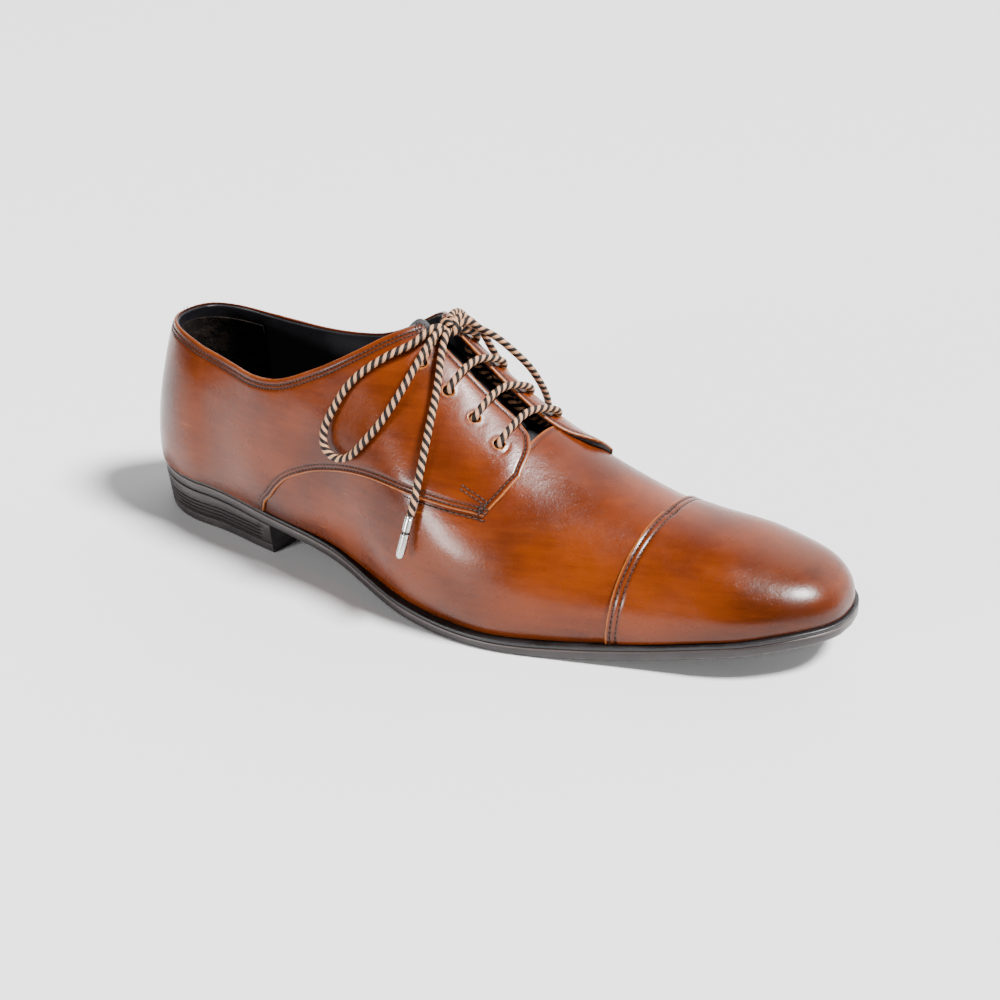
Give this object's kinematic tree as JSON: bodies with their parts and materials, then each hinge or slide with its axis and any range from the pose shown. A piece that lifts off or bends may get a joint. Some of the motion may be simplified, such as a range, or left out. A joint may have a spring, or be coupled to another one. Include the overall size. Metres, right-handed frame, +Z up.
{
  "type": "leather oxford shoe",
  "caption": "Brown leather cap-toe dress shoe with open lacing, low stacked heel, thin welted sole and a two-colour round lace tied in a bow.",
  "frame": {"origin": "middle of the shoe's footprint on the ground, found without the lace", "axes": "+X towards the toe, +Y towards the inner side of this right shoe, +Z up"},
  "size_m": [0.313, 0.1052, 0.107],
  "materials": {
    "calf": "polished cognac calf with burnished darker patches",
    "tongue_leather": "black glossy leather",
    "lining_leather": "black lining leather, satin",
    "vamp_lining_fabric": "black cotton lining",
    "heel_grip_suede": "dark brown suede, mottled",
    "stiffener_board": "raw stiffener board, hidden inside the upper",
    "welt_black": "black dyed welt, satin",
    "sole_edge": "dark taupe stained and burnished edge",
    "top_piece_rubber": "black rubber top piece",
    "nail_steel": "steel nails",
    "shank_steel": "spring steel strip",
    "insole_fibre": "bonded fibre board",
    "cork": "ground cork filler",
    "eyelet_metal": "blind eyelets set under the facings",
    "lace_cord": "round cord of black and beige strands",
    "aglet_silver": "silver coloured metal lace ends"
  },
  "bodies": {
    "shoe_body": {"quarter_lateral": "calf", "quarter_medial": "calf", "vamp": "calf", "toe_cap": "calf", "quarter_lining_lateral": "lining_leather", "quarter_lining_medial": "lining_leather", "sock_liner": "lining_leather", "vamp_lining": "vamp_lining_fabric", "heel_grip": "heel_grip_suede", "toe_puff": "stiffener_board", "heel_counter": "stiffener_board", "welt": "welt_black", "outsole": "sole_edge", "heel_block": "sole_edge", "heel_top_piece": "top_piece_rubber", "heel_nail_1": "nail_steel", "heel_nail_2": "nail_steel", "heel_nail_3": "nail_steel", "heel_nail_4": "nail_steel", "heel_nail_5": "nail_steel", "shank": "shank_steel", "insole_board": "insole_fibre", "heel_seat_filler": "insole_fibre", "cork_filler": "cork", "eyelet_lateral_1": "eyelet_metal", "eyelet_lateral_2": "eyelet_metal", "eyelet_lateral_3": "eyelet_metal", "eyelet_lateral_4": "eyelet_metal", "eyelet_medial_1": "eyelet_metal", "eyelet_medial_2": "eyelet_metal", "eyelet_medial_3": "eyelet_metal", "eyelet_medial_4": "eyelet_metal", "lace_lacing": "lace_cord", "lace_knot": "lace_cord", "lace_loop_lateral": "lace_cord", "lace_loop_medial": "lace_cord", "lace_tail_lateral": "lace_cord", "lace_tail_medial": "lace_cord", "aglet_lateral": "aglet_silver", "aglet_medial": "aglet_silver"},
    "tongue_flap": {"tongue": "tongue_leather", "tongue_lining": "lining_leather"}
  },
  "joints": [
    {"name": "tongue_sink", "type": "hinge", "parent": "shoe_body", "child": "tongue_flap", "pos_m": [0.03635, 0.00224, 0.056], "axis": [0, -1, 0], "range_deg": [0, 12]}
  ]
}
